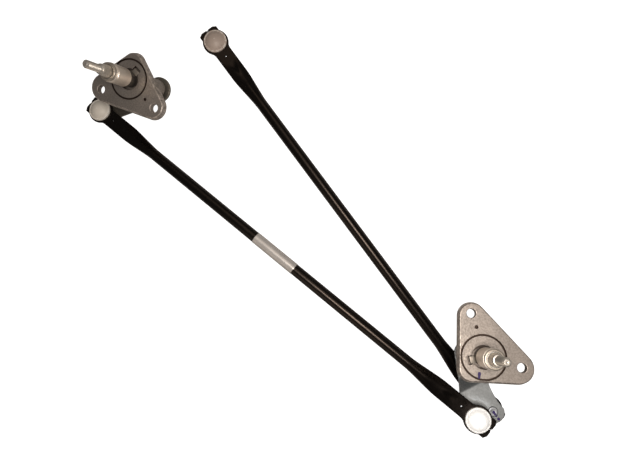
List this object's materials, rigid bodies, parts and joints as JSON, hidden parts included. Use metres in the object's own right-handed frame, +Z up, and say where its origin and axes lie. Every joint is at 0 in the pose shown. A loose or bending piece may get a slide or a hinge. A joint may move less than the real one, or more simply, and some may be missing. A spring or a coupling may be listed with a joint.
{
  "type": "windscreen wiper linkage",
  "caption": "Windscreen wiper linkage: cast flange pivots with tapered threaded shafts and cranks, a ball-jointed connecting link and a drive link with a free snap socket for the motor crank.",
  "frame": {"origin": "On the left wiper shaft's axis, in the flange face that bolts to the vehicle body.", "axes": "+Z runs up the left wiper shaft. +X runs along the connecting link on the ground plan, from the left crank's ball to the right one's."},
  "size_m": [0.6051, 0.1775, 0.1409],
  "materials": {
    "cast_aluminium": "as-cast, fine speckle",
    "bearing_steel": "turned",
    "bronze": "sintered",
    "seal_rubber": "matt",
    "washer_steel": "plain",
    "turned_spigot": "fine turned",
    "plated_cap": "bright plated",
    "bright_shaft": "bright ground",
    "zinc_plate": "zinc plated sheet",
    "stud_steel": "ground ball",
    "black_paint": "satin black paint",
    "nylon": "natural nylon",
    "foil": "blank foil label"
  },
  "bodies": {
    "connecting_link": {"link_tube": "black_paint", "link_left_socket": "nylon", "link_right_socket": "nylon", "link_label": "foil"},
    "left_housing": {"left_flange": "cast_aluminium", "left_bearing_tube": "bearing_steel", "left_upper_bush": "bronze", "left_lower_bush": "bronze", "left_shaft_seal": "seal_rubber", "left_upper_washer": "washer_steel", "left_lower_washer": "washer_steel", "left_spigot": "turned_spigot", "left_spigot_cap": "plated_cap"},
    "left_crank": {"left_shaft": "bright_shaft", "left_crank_arm": "zinc_plate", "left_ball_stud": "stud_steel"},
    "right_crank": {"right_shaft": "bright_shaft", "right_crank_arm": "zinc_plate", "right_upper_stud": "stud_steel", "right_lower_stud": "stud_steel"},
    "right_housing": {"right_flange": "cast_aluminium", "right_bearing_tube": "bearing_steel", "right_upper_bush": "bronze", "right_lower_bush": "bronze", "right_shaft_seal": "seal_rubber", "right_upper_washer": "washer_steel", "right_lower_washer": "washer_steel", "right_spigot": "turned_spigot", "right_spigot_cap": "plated_cap"},
    "drive_link": {"drive_tube": "black_paint", "drive_lower_socket": "nylon", "drive_free_socket": "nylon"}
  },
  "joints": [
    {"name": "left_shaft_turn", "type": "hinge", "parent": "left_crank", "child": "left_housing", "pos_m": [0, 0, 0], "axis": [0, 0, 1], "continuous": true},
    {"name": "link_left_ball", "type": "hinge", "parent": "connecting_link", "child": "left_crank", "pos_m": [-0.04205, -0.06234, -0.048], "axis": [0, 0, 1], "range_deg": [-30, 270]},
    {"name": "link_right_ball", "type": "hinge", "parent": "connecting_link", "child": "right_crank", "pos_m": [0.51489, -0.06178, -0.02464], "axis": [-0.096, 0.318, 0.9432], "range_deg": [-150, 2]},
    {"name": "right_shaft_turn", "type": "hinge", "parent": "right_crank", "child": "right_housing", "pos_m": [0.4654, 0.0014, 0.0084], "axis": [-0.096, 0.318, 0.9432], "continuous": true},
    {"name": "drive_ball", "type": "hinge", "parent": "right_crank", "child": "drive_link", "pos_m": [0.52905, -0.05423, -0.05595], "axis": [-0.096, 0.318, 0.9432], "range_deg": [-150, 3]}
  ]
}
